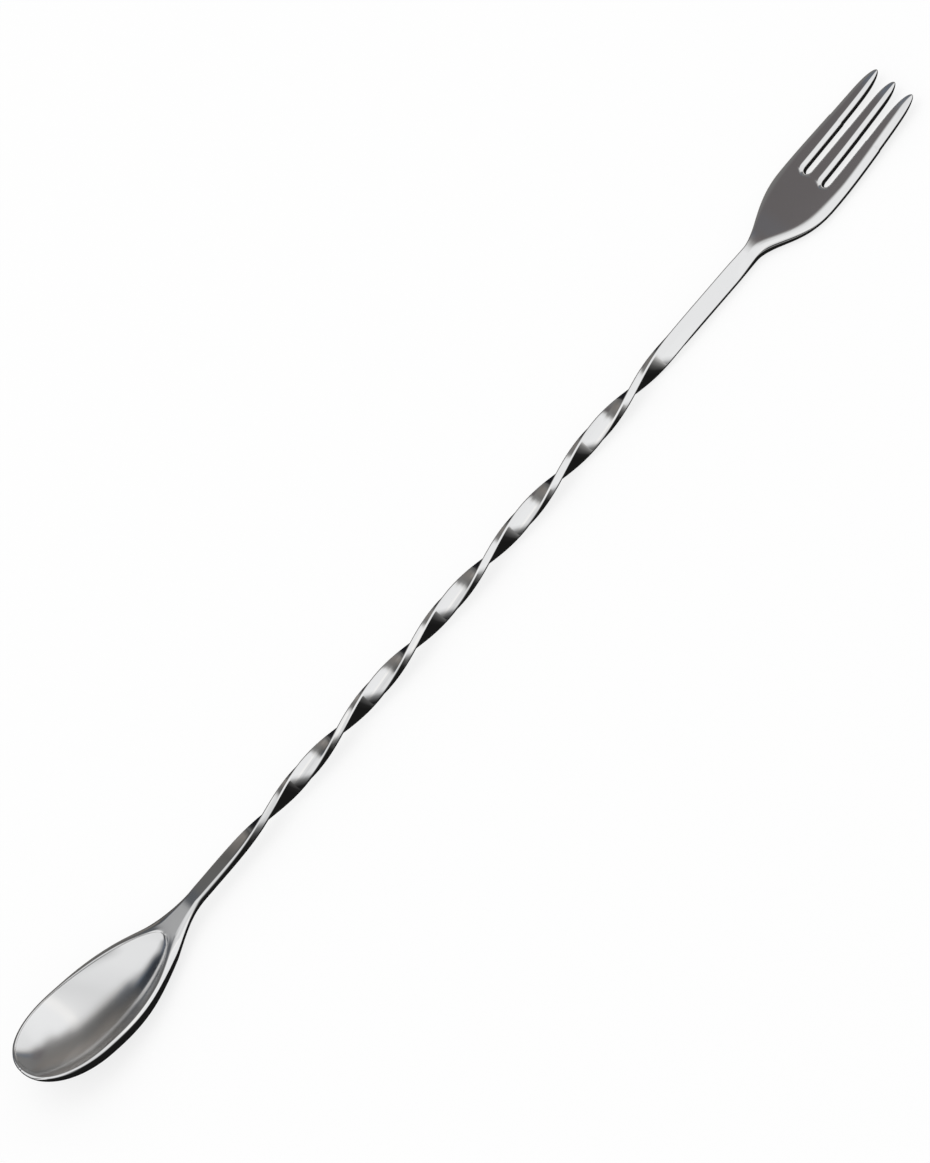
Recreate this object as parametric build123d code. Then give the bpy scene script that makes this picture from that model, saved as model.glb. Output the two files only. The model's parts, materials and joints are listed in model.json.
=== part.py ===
"""Bar spoon with a fork end: a stainless bowl, a twisted flat stem and a three-tine fork head.

The three pieces are butt-welded end to end and ground flush.  Everything is modelled along +X
from the bowl's tip, with the stem's axis on X and the bowl opening up, and is then laid on the
surface z = 0, where it rests on the belly of the bowl and the back of the fork.
"""
import os
from math import atan2, ceil, cos, degrees, pi, sin

from build123d import *

# ---- lengths along the spoon, in mm ----
OVERALL_LENGTH = 305.0
BOWL_LENGTH = 58.0           # tip to weld, neck included
FORK_LENGTH = 59.0           # weld to tine tips, neck included
LEAD_IN = 2.0                # plain bar between the bowl's weld and the start of the twist
PLAIN_STRETCH = 9.5          # plain bar between the end of the twist and the fork's weld
TIP_FLAT = 0.02              # the outermost section of the bowl's tip, all but a point

# ---- stations, measured from the bowl's tip ----
BOWL_WIDEST_AT = 0.303 * BOWL_LENGTH
BOWL_DEEPEST_AT = 0.345 * BOWL_LENGTH
RIM_ARC_START_AT = 0.741 * BOWL_LENGTH
CAVITY_END_AT = 0.783 * BOWL_LENGTH
BOWL_WELD_AT = BOWL_LENGTH
TWIST_START_AT = BOWL_WELD_AT + LEAD_IN
FORK_WELD_AT = OVERALL_LENGTH - FORK_LENGTH
TWIST_END_AT = FORK_WELD_AT - PLAIN_STRETCH
FORK_NECK_AT = FORK_WELD_AT + 0.12 * FORK_LENGTH
FORK_LEVEL_AT = FORK_WELD_AT + 0.21 * FORK_LENGTH
FORK_BROAD_AT = FORK_WELD_AT + 0.39 * FORK_LENGTH
FORK_PALM_AT = FORK_WELD_AT + 0.483 * FORK_LENGTH
SLOT_ROOT_AT = FORK_WELD_AT + 0.505 * FORK_LENGTH
FORK_SAG_AT = FORK_WELD_AT + 0.34 * FORK_LENGTH
TIP_ROUNDING_AT = FORK_WELD_AT + 0.746 * FORK_LENGTH

# ---- stem: flat bar with eased edges ----
BAR_WIDTH = 4.5
BAR_THICKNESS = 2.0
BAR_EDGE_RADIUS = 0.42
NECK_EDGE_RADIUS = 0.8       # the bar's edges are rounder where it meets the bowl
NECK_EDGE_FADE = 20.0        # length over which they turn as crisp as the rest
HALF_TURNS = 6               # twist from the bowl to the fork
PLAIN_ROLL = 32.0            # roll of the plain stretch, which the fork's neck takes back
TWIST_TOTAL = PLAIN_ROLL - 180.0 * HALF_TURNS    # about +X, negative for a left-handed twist
TWIST_FADE_IN = 30.0         # length over which the twist builds up from nothing
TWIST_FADE_OUT = 22.0
TWIST_STEP = 25.0            # degrees between neighbouring sections

# ---- bowl ----
BOWL_WIDTH = 25.7
BOWL_DEPTH = 6.0             # rim to the outside of the belly
RIM_WIDTH = 1.0              # from the outline in to the hollow's edge, rounding included
BELLY_WALL = 1.5             # wall at the bottom of the bowl
BOWL_OUTLINE_RUN = 0.691 * BOWL_LENGTH    # widest station to where the heel has become the neck
BOWL_DEPTH_RUN = 0.598 * BOWL_LENGTH      # deepest station to where the belly has become the neck
OUTLINE_FULLNESS = 1.34      # exponent of the fading curve from bowl to neck
DEPTH_FULLNESS = 1.2         # the same for the curve from belly to neck
NOSE_FULLNESS = 2.16         # superellipse exponent of the outline ahead of the widest station
HOLLOW_HEEL_FULLNESS = 1.75  # the same for the hollow's outline towards the heel
HOLLOW_FULLNESS = 0.7        # exponent of the hollow's depth along the bowl, 0.5 for an ellipse
RIM_RISE = 7.3               # the rim curves up by this much at the tip
RIM_RISE_CURVE = 1.64        # exponent of that curve
HEEL_DIP = 0.9               # drop of the rim at the heel below the neck's upper face
HEEL_DIP_RUN = 0.256 * BOWL_LENGTH
RIM_ROUNDING = 0.8
HOLLOW_LIP = 0.3             # upright edge between the rim's top and the hollow
RIM_CORNER_MOST = 0.45       # but never more than this share of the half width or the depth
HEEL_ROUNDING = 2.4
HEEL_ROUNDING_DROP = 1.8
HEEL_ROUNDING_RUN = 0.24 * BOWL_LENGTH       # over which the rim's rounding widens to the heel's
BELLY_ROUNDNESS = 0.96       # share of the belly's width that its two quarter ellipses take
BELLY_RISE = 0.78            # share of the depth that they take, below the rim's upright edge
NOSE_SECTIONS = 6            # sections from the tip to the widest station
HEEL_SECTIONS = 10           # sections from the widest station to the weld
CAVITY_SECTIONS = 11

# ---- fork ----
FORK_WIDTH = 20.7
FORK_TIP_WIDTH = 17.8
FLARE_FULLNESS = 1.5         # the fork widens fast from its neck, then ever more slowly
FORK_THICKNESS = 2.6
TINE_THICKNESS = 2.4
PALM_EDGE_RUN = 2.7          # how far the palm's rounded outer edge reaches inwards
TINE_EDGE_RUN = 2.0          # the same on the outer tines
FORK_EDGE_RISE = 0.45        # and how far down and up, as a share of the thickness
NECK_BEVEL_RUN = 3.1         # the rolled bar's faces run on as bevels along two of the palm's edges
NECK_BEVEL_RISE = 0.5        # as a share of the thickness
FORK_NECK_WAIST = 0.92       # width of the neck at its slimmest, as a share of the bar's
FORK_SWELL_RUN = 0.1 * FORK_LENGTH        # beyond the neck, to the fork's full thickness
FORK_SLIMMING_RUN = 0.068 * FORK_LENGTH   # beyond the slots' roots, to the tines' thickness
NECK_SECTIONS = 9
TINE_SECTIONS = 7
TINE_COUNT = 3
TINE_PITCH = 0.343 * FORK_WIDTH
TINE_TIP_PITCH = 0.366 * FORK_TIP_WIDTH
SLOT_WIDTH = 2.5
SLOT_FLARE = 1.15            # slot width at the tips, against the root
SLOT_EDGE_RADIUS = 0.46 * TINE_THICKNESS
TIP_ENVELOPE = 1.3           # tip envelope against the tine it rounds off
FORK_SAG = 0.65              # dip of the fork's centre line below the stem's axis
FORK_TIP_RISE = 1.0

REST_PASSES = 4              # rounds of levelling when the spoon is laid down


def ease(value, start, end):
    """Smooth step from 0 at start to 1 at end."""
    share = min(max((value - start) / (end - start), 0.0), 1.0)
    return share * share * (3 - 2 * share)


def eased_area(share):
    """Integral of the smooth step from 0 to share, for a share between 0 and 1."""
    return share ** 3 - share ** 4 / 2


def between(first, last, share):
    return first + (last - first) * share


def section_plane(x, roll=0.0, lift=0.0):
    """Plane across the spoon at x: its first axis is the width, its second the thickness."""
    width_direction = Vector(0, 1, 0).rotate(Axis.X, roll)
    return Plane(origin=(x, 0, lift), x_dir=width_direction, z_dir=(1, 0, 0))


# ---- sections ----

def corner_arc(plane, width, side, height, corner, start):
    """Quarter ellipse that rounds one corner, where corner is its (run, rise)."""
    run, rise = corner
    inward = 1 if start >= 180 else -1
    centre = (side * (width / 2 - run), height + inward * rise)
    return plane.from_local_coords(EllipticalCenterArc(centre, run, rise, start, arc_size=90))


def cornered_section(plane, width, top, bottom, corners):
    """Outline between two heights; its corners' (run, rise) are given counter-clockwise."""
    arcs = [
        corner_arc(plane, width, 1, top, corners[0], 0),
        corner_arc(plane, width, -1, top, corners[1], 90),
        corner_arc(plane, width, -1, bottom, corners[2], 180),
        corner_arc(plane, width, 1, bottom, corners[3], 270),
    ]
    edges = []
    for arc, following in zip(arcs, arcs[1:] + arcs[:1]):
        edges.append(arc.edge())
        edges.append(Edge.make_line(arc @ 1, following @ 0))
    return Face(Wire(edges))


def rounded_section(plane, width, top, bottom, upper, lower):
    """Outline whose two upper corners are alike, and its two lower ones too."""
    return cornered_section(plane, width, top, bottom, (upper, upper, lower, lower))


def bar_section(x, roll):
    crisp = ease(x, TWIST_START_AT, TWIST_START_AT + NECK_EDGE_FADE)
    radius = between(NECK_EDGE_RADIUS, BAR_EDGE_RADIUS, crisp)
    corner = (radius, radius)
    half = BAR_THICKNESS / 2
    return rounded_section(section_plane(x, roll), BAR_WIDTH, half, -half, corner, corner)


# ---- twisted stem ----

def twist_roll(x):
    """Roll of the bar at x: the rate of twist fades in, stays even, and fades out again."""
    even_length = (TWIST_END_AT - TWIST_START_AT) - (TWIST_FADE_IN + TWIST_FADE_OUT) / 2
    rate = TWIST_TOTAL / even_length
    fade_in = min((x - TWIST_START_AT) / TWIST_FADE_IN, 1.0)
    even = max(x - TWIST_START_AT - TWIST_FADE_IN, 0.0)
    fade_out_from = TWIST_END_AT - TWIST_FADE_OUT
    slowed = max((x - fade_out_from) / TWIST_FADE_OUT, 0.0)
    turned = TWIST_FADE_IN * eased_area(fade_in) + even - TWIST_FADE_OUT * eased_area(slowed)
    return rate * turned


def twisted_stem():
    steps = ceil(abs(TWIST_TOTAL) / TWIST_STEP)
    length = TWIST_END_AT - TWIST_START_AT
    stations = [TWIST_START_AT + length * step / steps for step in range(steps + 1)]
    twisted = loft([bar_section(x, twist_roll(x)) for x in stations])
    start = extrude(bar_section(BOWL_WELD_AT, 0.0), LEAD_IN, dir=(1, 0, 0))
    plain = extrude(bar_section(TWIST_END_AT, PLAIN_ROLL), PLAIN_STRETCH, dir=(1, 0, 0))
    return start + twisted + plain


# ---- bowl ----

def fading(x, start, run, fullness):
    """1 up to start, falling smoothly to 0 over run, fuller near the start."""
    share = min(max((x - start) / run, 0.0), 1.0)
    return cos(pi / 2 * share ** fullness) ** 2


def bowl_round(x, widest):
    """Superellipse law from 0 at the tip to 1 at the widest station."""
    share = max(widest - x, 0.0) / widest
    return (1 - share ** NOSE_FULLNESS) ** (1 / NOSE_FULLNESS)


def rim_height(x):
    """Height of the rim, and further on of the neck's upper face, above the stem's axis."""
    arc = RIM_RISE * (max(RIM_ARC_START_AT - x, 0.0) / RIM_ARC_START_AT) ** RIM_RISE_CURVE
    dip = HEEL_DIP * (1 - ease(x, BOWL_WELD_AT - HEEL_DIP_RUN, BOWL_WELD_AT))
    return BAR_THICKNESS / 2 - dip + arc


def bowl_half_width(x):
    swell = (BOWL_WIDTH - BAR_WIDTH) / 2 * fading(x, BOWL_WIDEST_AT, BOWL_OUTLINE_RUN, OUTLINE_FULLNESS)
    return (BAR_WIDTH / 2 + swell) * bowl_round(x, BOWL_WIDEST_AT)


def bowl_depth(x):
    swell = (BOWL_DEPTH - BAR_THICKNESS) * fading(x, BOWL_DEEPEST_AT, BOWL_DEPTH_RUN, DEPTH_FULLNESS)
    return (BAR_THICKNESS + swell) * bowl_round(x, BOWL_DEEPEST_AT)


def rim_corner(x):
    """Run and drop of the upper edge's rounding: slim on the rim, wide at the heel, then bar-sized."""
    heel_from = CAVITY_END_AT - HEEL_ROUNDING_RUN * 3 / 4
    heel = ease(x, heel_from, heel_from + HEEL_ROUNDING_RUN)
    weld = ease(x, heel_from + HEEL_ROUNDING_RUN, BOWL_WELD_AT)
    run = between(between(RIM_ROUNDING, HEEL_ROUNDING, heel), NECK_EDGE_RADIUS, weld)
    drop = between(between(RIM_ROUNDING, HEEL_ROUNDING_DROP, heel), NECK_EDGE_RADIUS, weld)
    return min(run, bowl_half_width(x) * RIM_CORNER_MOST), min(drop, bowl_depth(x) * RIM_CORNER_MOST)


def bowl_section(x):
    """Bowl's outside at x: a rounded belly under an upright edge, squaring up to the bar's section."""
    half_width = bowl_half_width(x)
    depth = bowl_depth(x)
    upper = rim_corner(x)
    neck = ease(x, RIM_ARC_START_AT, BOWL_WELD_AT)
    widest = half_width * BELLY_ROUNDNESS
    deepest = (depth - upper[1]) * BELLY_RISE
    lower = (between(widest, NECK_EDGE_RADIUS, neck), between(deepest, NECK_EDGE_RADIUS, neck))
    plane = section_plane(x, lift=rim_height(x))
    return rounded_section(plane, 2 * half_width, 0, -depth, upper, lower)


def bowl_body():
    """Outside of the bowl, with sections crowded towards the rounded tip."""
    turns = [pi / 2 * step / NOSE_SECTIONS for step in range(1, NOSE_SECTIONS)]
    nose = [BOWL_WIDEST_AT * (1 - cos(turn)) for turn in turns]
    rear = BOWL_WELD_AT - BOWL_WIDEST_AT
    heel = [BOWL_WIDEST_AT + rear * step / HEEL_SECTIONS for step in range(HEEL_SECTIONS + 1)]
    return loft([bowl_section(x) for x in [TIP_FLAT] + nose + heel])


def cavity_section(x):
    """Hollow of the bowl at x: a shallow arc, open at the top well above the rim."""
    rear = CAVITY_END_AT - BOWL_WIDEST_AT
    if x < BOWL_WIDEST_AT:
        share = (BOWL_WIDEST_AT - x) / (BOWL_WIDEST_AT - RIM_WIDTH)
        outline = (1 - share ** NOSE_FULLNESS) ** (1 / NOSE_FULLNESS)
    else:
        share = (x - BOWL_WIDEST_AT) / rear
        outline = (1 - share ** HOLLOW_HEEL_FULLNESS) ** (1 / HOLLOW_HEEL_FULLNESS)
    half_width = (BOWL_WIDTH / 2 - RIM_WIDTH) * outline
    depth = (BOWL_DEPTH - BELLY_WALL) * (1 - share * share) ** HOLLOW_FULLNESS
    lip = min(HOLLOW_LIP, depth / 3)
    headroom = BOWL_DEPTH / 2
    floor = ThreePointArc((-half_width, -lip), (0, -depth), (half_width, -lip))
    sides = Polyline(
        (half_width, -lip), (half_width, headroom), (-half_width, headroom), (-half_width, -lip)
    )
    plane = section_plane(x, lift=rim_height(x))
    return Face(Wire([plane.from_local_coords(edge) for edge in floor.edges() + sides.edges()]))


def cavity_stations():
    """Stations crowded towards both rounded ends of the hollow."""
    front = BOWL_WIDEST_AT - RIM_WIDTH
    rear = CAVITY_END_AT - BOWL_WIDEST_AT
    turns = [pi * step / (CAVITY_SECTIONS + 1) - pi / 2 for step in range(1, CAVITY_SECTIONS + 1)]
    return [BOWL_WIDEST_AT + (front if turn < 0 else rear) * sin(turn) for turn in turns]


def spoon_bowl():
    return bowl_body() - loft([cavity_section(x) for x in cavity_stations()])


# ---- fork ----

def fork_lift(x):
    """Height of the fork's centre line: it dips below the stem's axis and rises at the tips."""
    sag = FORK_SAG * ease(x, FORK_NECK_AT, FORK_SAG_AT)
    beyond = max(x - FORK_SAG_AT, 0.0) / (OVERALL_LENGTH - FORK_SAG_AT)
    return (FORK_SAG + FORK_TIP_RISE) * beyond ** 2 - sag


def fork_section(x):
    before_palm = min(max((FORK_PALM_AT - x) / (FORK_PALM_AT - FORK_NECK_AT), 0.0), 1.0)
    flare = ease(1 - before_palm ** FLARE_FULLNESS, 0, 1)
    taper = ease(x, FORK_PALM_AT, OVERALL_LENGTH)
    palm = between(FORK_WIDTH, FORK_TIP_WIDTH, taper)
    neck = BAR_WIDTH * between(1.0, FORK_NECK_WAIST, ease(x, FORK_WELD_AT, FORK_NECK_AT))
    swell = ease(x, FORK_WELD_AT, FORK_NECK_AT + FORK_SWELL_RUN)
    slimming = ease(x, FORK_BROAD_AT, SLOT_ROOT_AT + FORK_SLIMMING_RUN)
    thickness = between(between(BAR_THICKNESS, FORK_THICKNESS, swell), TINE_THICKNESS, slimming)
    palm_run = between(PALM_EDGE_RUN, TINE_EDGE_RUN, slimming)
    palm_rise = FORK_EDGE_RISE * thickness
    opening = ease(x, FORK_NECK_AT, FORK_BROAD_AT)
    small = (between(BAR_EDGE_RADIUS, palm_run, opening), between(BAR_EDGE_RADIUS, palm_rise, opening))
    levelled = ease(x, FORK_WELD_AT, FORK_LEVEL_AT)
    bevel_run = between(NECK_BEVEL_RUN, palm_run, opening)
    bevel_rise = between(NECK_BEVEL_RISE * thickness, palm_rise, opening)
    bevel = (between(BAR_EDGE_RADIUS, bevel_run, levelled), between(BAR_EDGE_RADIUS, bevel_rise, levelled))
    roll = PLAIN_ROLL * (1 - levelled)
    plane = section_plane(x, roll, fork_lift(x))
    width = between(neck, palm, flare)
    return cornered_section(plane, width, thickness / 2, -thickness / 2, (small, bevel, small, bevel))


def fork_blank():
    neck_length = FORK_PALM_AT - FORK_WELD_AT
    neck = [FORK_WELD_AT + neck_length * step / NECK_SECTIONS for step in range(NECK_SECTIONS)]
    tine_length = OVERALL_LENGTH - FORK_PALM_AT
    tines = [FORK_PALM_AT + tine_length * step / (TINE_SECTIONS - 1) for step in range(TINE_SECTIONS)]
    return loft([fork_section(x) for x in neck + tines])


def tine_across(index, x):
    """Distance of a tine's centre line from the fork's centre line."""
    pitch = between(TINE_PITCH, TINE_TIP_PITCH, ease(x, SLOT_ROOT_AT, OVERALL_LENGTH))
    return (index - (TINE_COUNT - 1) / 2) * pitch


def slot_cutter(index):
    """Slot between two tines: a round root, widening a little as it runs past the tips."""
    half_root = SLOT_WIDTH / 2
    half_end = half_root * SLOT_FLARE
    end = OVERALL_LENGTH + SLOT_WIDTH
    root_across = tine_across(index + 0.5, SLOT_ROOT_AT)
    end_across = tine_across(index + 0.5, end)
    root = (SLOT_ROOT_AT, root_across)
    root_left = (SLOT_ROOT_AT + half_root, root_across + half_root)
    root_right = (SLOT_ROOT_AT + half_root, root_across - half_root)
    end_left = (end, end_across + half_end)
    end_right = (end, end_across - half_end)
    sides = Polyline(root_left, end_left, end_right, root_right)
    profile = Face(Wire(sides.edges() + ThreePointArc(root_right, root, root_left).edges()))
    return extrude(Pos(0, 0, -FORK_WIDTH / 2) * profile, FORK_WIDTH, dir=(0, 0, 1))


def slotted_fork():
    """Palm and tines, with the slots' edges rounded as far as the tines are thick."""
    blank = fork_blank()
    for index in range(TINE_COUNT - 1):
        blank -= slot_cutter(index)
    slot_reach = TINE_PITCH * (TINE_COUNT - 1) / 2
    edges = [
        edge
        for edge in blank.edges()
        if edge.bounding_box().min.X > SLOT_ROOT_AT - SLOT_WIDTH
        and edge.bounding_box().size.X > SLOT_WIDTH / 4
        and abs(edge.center().Y) < slot_reach
    ]
    return fillet(edges, SLOT_EDGE_RADIUS)


def tine_tip(index):
    """Egg-shaped envelope that narrows and thins one tine to its blunt point."""
    run = OVERALL_LENGTH - TIP_ROUNDING_AT
    half_width = (TINE_TIP_PITCH - SLOT_WIDTH) / 2 * TIP_ENVELOPE
    half_thickness = TINE_THICKNESS / 2 * TIP_ENVELOPE
    egg = scale(Sphere(1), by=(run, half_width, half_thickness))
    rise = fork_lift(OVERALL_LENGTH) - fork_lift(TIP_ROUNDING_AT)
    pitch = -degrees(atan2(rise, run))
    across = tine_across(index, TIP_ROUNDING_AT)
    return Pos(TIP_ROUNDING_AT, across, fork_lift(TIP_ROUNDING_AT)) * Rot(0, pitch, 0) * egg


def fork_head():
    fork = slotted_fork()
    untrimmed = Pos(TIP_ROUNDING_AT - FORK_LENGTH / 2, 0, 0) * Box(FORK_LENGTH, FORK_WIDTH * 2, FORK_WIDTH)
    head = fork & untrimmed
    for index in range(TINE_COUNT):
        head += fork & tine_tip(index)
    return head


# ---- laying the spoon down ----

def resting_pitch(bowl, fork):
    """Tilt about Y at which the bowl's belly and the fork's back are equally low."""
    pitch = 0.0
    reach = FORK_SAG_AT - BOWL_DEEPEST_AT
    for _ in range(REST_PASSES):
        laid = Rot(0, pitch, 0)
        step = (laid * fork).bounding_box().min.Z - (laid * bowl).bounding_box().min.Z
        pitch += degrees(atan2(step, reach))
    return pitch


def main():
    os.makedirs("parts", exist_ok=True)
    pieces = {
        "spoon_bowl": spoon_bowl(),
        "twisted_stem": twisted_stem(),
        "fork_head": fork_head(),
    }
    laid = Rot(0, resting_pitch(pieces["spoon_bowl"], pieces["fork_head"]), 0)
    spoon = Compound(children=[laid * piece for piece in pieces.values()]).bounding_box()
    middle = (spoon.min + spoon.max) / 2
    placing = Pos(-middle.X, -middle.Y, -spoon.min.Z) * laid
    for name, piece in pieces.items():
        export_step(placing * piece, f"parts/{name}.step")


main()
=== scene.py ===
import json
from math import asin, cos, pi, radians, sin

import bmesh
import bpy
import numpy as np
from mathutils import Matrix, Vector


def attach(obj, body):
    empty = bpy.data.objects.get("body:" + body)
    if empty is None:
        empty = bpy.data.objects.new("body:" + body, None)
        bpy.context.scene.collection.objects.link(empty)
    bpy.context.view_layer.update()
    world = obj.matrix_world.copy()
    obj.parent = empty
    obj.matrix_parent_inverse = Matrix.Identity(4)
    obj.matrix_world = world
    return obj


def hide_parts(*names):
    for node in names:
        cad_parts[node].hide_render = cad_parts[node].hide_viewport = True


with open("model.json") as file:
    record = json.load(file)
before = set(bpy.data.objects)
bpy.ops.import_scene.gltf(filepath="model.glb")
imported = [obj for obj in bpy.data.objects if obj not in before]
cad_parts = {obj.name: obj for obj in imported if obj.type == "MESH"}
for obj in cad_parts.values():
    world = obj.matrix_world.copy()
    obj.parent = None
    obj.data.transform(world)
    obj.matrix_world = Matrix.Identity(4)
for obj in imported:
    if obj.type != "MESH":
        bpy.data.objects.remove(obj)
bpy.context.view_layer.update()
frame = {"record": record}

MM = 0.001

# ---- the spoon's own sizes, in mm, along +X from the bowl's tip ----
OVERALL_LENGTH = 305.0
BOWL_WIDEST_AT = 17.574
BOWL_DEEPEST_AT = 20.01
BOWL_OUTLINE_RUN = 40.078
BOWL_DEPTH_RUN = 34.684
BOWL_WELD_AT = 58.0
RIM_ARC_START_AT = 42.978
CAVITY_END_AT = 45.414
TIP_FLAT = 0.02
TWIST_START_AT = 60.0
TWIST_END_AT = 236.5
FORK_WELD_AT = 246.0
FORK_NECK_AT = 253.08
FORK_LEVEL_AT = 258.39
FORK_BROAD_AT = 269.01
FORK_PALM_AT = 274.497
SLOT_ROOT_AT = 275.795
FORK_SAG_AT = 266.06
TIP_ROUNDING_AT = 290.014

BAR_WIDTH = 4.5
BAR_THICKNESS = 2.0
BAR_EDGE_RADIUS = 0.42
NECK_EDGE_RADIUS = 0.8
NECK_EDGE_FADE = 20.0
PLAIN_ROLL = 32.0
TWIST_TOTAL = PLAIN_ROLL - 6 * 180.0
TWIST_FADE_IN = 30.0
TWIST_FADE_OUT = 22.0

BOWL_WIDTH = 25.7
BOWL_DEPTH = 6.0
RIM_WIDTH = 1.0
BELLY_WALL = 1.5
OUTLINE_FULLNESS = 1.34
DEPTH_FULLNESS = 1.2
NOSE_FULLNESS = 2.16
HOLLOW_HEEL_FULLNESS = 1.75
HOLLOW_FULLNESS = 0.7
RIM_RISE = 7.3
RIM_RISE_CURVE = 1.64
HEEL_DIP = 0.9
HEEL_DIP_RUN = 14.848
RIM_ROUNDING = 0.8
HOLLOW_LIP = 0.3
RIM_CORNER_MOST = 0.45
HEEL_ROUNDING = 2.4
HEEL_ROUNDING_DROP = 1.8
HEEL_ROUNDING_FROM = 34.974
HEEL_ROUNDING_RUN = 13.92
BELLY_ROUNDNESS = 0.96
BELLY_RISE = 0.78
LIP_ROUNDING = 0.55
LIP_MOST = 0.7               # share of the rim's top, inside its edge, that the lip may take
TIP_EDGE = 0.8
TIP_EDGE_RUN = 3.5
TOP_EDGE_LEAST = 0.03        # run of the rounding at the outside of the rim's top
TOP_EDGE_MOST = 0.86         # but never more than this share of the top

FORK_WIDTH = 20.7
FORK_TIP_WIDTH = 17.8
FLARE_FULLNESS = 1.5
FORK_THICKNESS = 2.6
TINE_THICKNESS = 2.4
PALM_EDGE_RUN = 2.7
TINE_EDGE_RUN = 2.0
FORK_EDGE_RISE = 0.45
NECK_BEVEL_RUN = 3.1
NECK_BEVEL_RISE = 0.5
FORK_NECK_WAIST = 0.92
FORK_SWELL_RUN = 5.9
FORK_SLIMMING_RUN = 4.012
TINE_PITCH = 7.1001
TINE_TIP_PITCH = 6.5148
SLOT_WIDTH = 2.5
SLOT_FLARE = 1.15
SLOT_EDGE_RADIUS = 1.104
TINE_ROUNDING_MOST = 0.42    # share of a tine's width that the rounding of one edge may take
TIP_ENVELOPE = 1.3
FORK_SAG = 0.65
FORK_TIP_RISE = 1.0

# ---- how finely the meshes are made ----
STEM_STATIONS = 940
NOSE_STATIONS = 120
HEEL_STATIONS = 150
HOLLOW_RINGS = 60
PALM_STATIONS = 110
ROOT_APPROACH = 1.2          # mm before the slots' roots where the stations lie closer
WALL_HEIGHTS = np.array([0, 0.06, 0.35, 0.65, 0.94, 1.0])
SHARP_ANGLE = 50.0
JOINING_DISTANCE = 2e-7      # metres
CLOSED_UP = 1e-8


def ease(value, start, end):
    """Smooth step from 0 at start to 1 at end."""
    share = np.clip((np.asarray(value, float) - start) / (end - start), 0.0, 1.0)
    return share * share * (3 - 2 * share)


def between(first, last, share):
    return first + (last - first) * share


# ---- from the spoon's own axes to the frame, by the flat on its stem ----

def placing():
    """Matrix that lays the spoon down where the CAD model lies, read off its one mount."""
    mount = frame["record"]["mounts"][0]
    normal = Vector((0, -sin(radians(PLAIN_ROLL)), cos(radians(PLAIN_ROLL))))
    middle = (TWIST_END_AT + FORK_WELD_AT) / 2
    own = (Vector((middle, 0, 0)) + normal * BAR_THICKNESS / 2) * MM
    pitch = Matrix.Rotation(asin(mount["axis"][0] / normal.z), 4, "Y")
    return Matrix.Translation(Vector(mount["pos_m"]) - pitch @ own) @ pitch


PLACING = placing()


def make_piece(name, work, node, materials):
    """Mesh of one steel piece, from points in mm on the spoon's own axes."""
    mesh = bpy.data.meshes.new(name)
    mesh.from_pydata((np.asarray(work.vertices) * MM).tolist(), [], work.faces)
    mesh.transform(PLACING)
    for material in materials:
        mesh.materials.append(material)
    mesh.polygons.foreach_set("material_index", work.finishes)
    piece = bpy.data.objects.new(name, mesh)
    bpy.context.scene.collection.objects.link(piece)
    weld_points(mesh)
    mesh.shade_smooth()
    mesh.set_sharp_from_angle(angle=radians(SHARP_ANGLE))
    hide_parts(node)
    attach(piece, "root")


def weld_points(mesh):
    """Joins points that coincide, drops faces that close up, and turns all faces outwards."""
    work = bmesh.new()
    work.from_mesh(mesh)
    bmesh.ops.remove_doubles(work, verts=work.verts, dist=JOINING_DISTANCE)
    bmesh.ops.dissolve_degenerate(work, edges=work.edges, dist=CLOSED_UP)
    bmesh.ops.recalc_face_normals(work, faces=work.faces)
    work.to_mesh(mesh)
    work.free()


class Patchwork:
    """Vertices, quads and finishes of one piece, gathered grid by grid."""

    def __init__(self):
        self.vertices = []
        self.faces = []
        self.finishes = []

    def grid(self, points, closed=False, finish=0):
        """Adds rows x columns x 3 points; closed joins the last column to the first."""
        rows, columns, _ = points.shape
        base = len(self.vertices)
        self.vertices.extend(points.reshape(-1, 3).tolist())
        steps = columns if closed else columns - 1
        for row in range(rows - 1):
            for column in range(steps):
                following = (column + 1) % columns
                here = base + row * columns
                there = here + columns
                near = (here + column, here + following)
                self.faces.append((*near, there + following, there + column))
        self.finishes.extend([finish] * (rows - 1) * steps)

    def cap(self, ring):
        """Closes a ring of points with one flat face."""
        base = len(self.vertices)
        self.vertices.extend(np.asarray(ring).tolist())
        self.faces.append(tuple(range(base, base + len(ring))))
        self.finishes.append(0)


# ---- sections ----

def corner_points(count):
    """Cosines and sines along a quarter circle, ends included."""
    turn = np.linspace(0, pi / 2, count)
    return np.cos(turn), np.sin(turn)


def flat_points(count, hold=0.04):
    """Places along a flat from 0 to 1 without its ends, with one held close to each end."""
    return np.concatenate([[hold], np.linspace(0, 1, count + 2)[1:-1], [1 - hold]])


def bar_profile(run):
    """Points round the bar's section: four quarter circles and the flats between them."""
    cosines, sines = corner_points(9)
    profile = []
    for quarter, (u, v) in enumerate(((1, 1), (-1, 1), (-1, -1), (1, -1))):
        centre = (u * (BAR_WIDTH / 2 - run), v * (BAR_THICKNESS / 2 - run))
        start = quarter * pi / 2
        for c, s in zip(cosines, sines):
            across = c * cos(start) - s * sin(start)
            up = c * sin(start) + s * cos(start)
            profile.append((centre[0] + run * across, centre[1] + run * up))
    filled = []
    per_corner = len(cosines)
    for quarter in range(4):
        corner = profile[quarter * per_corner:(quarter + 1) * per_corner]
        following = profile[((quarter + 1) * per_corner) % len(profile)]
        filled += corner
        last = corner[-1]
        for share in flat_points(5):
            filled.append(tuple(between(a, b, share) for a, b in zip(last, following)))
    return np.array(filled)


def turned(u, v, roll):
    """Across and up of section points after a roll about +X, in degrees."""
    angle = np.radians(roll)
    return u * np.cos(angle) - v * np.sin(angle), u * np.sin(angle) + v * np.cos(angle)


# ---- twisted stem ----

def eased_area(share):
    return share ** 3 - share ** 4 / 2


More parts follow.
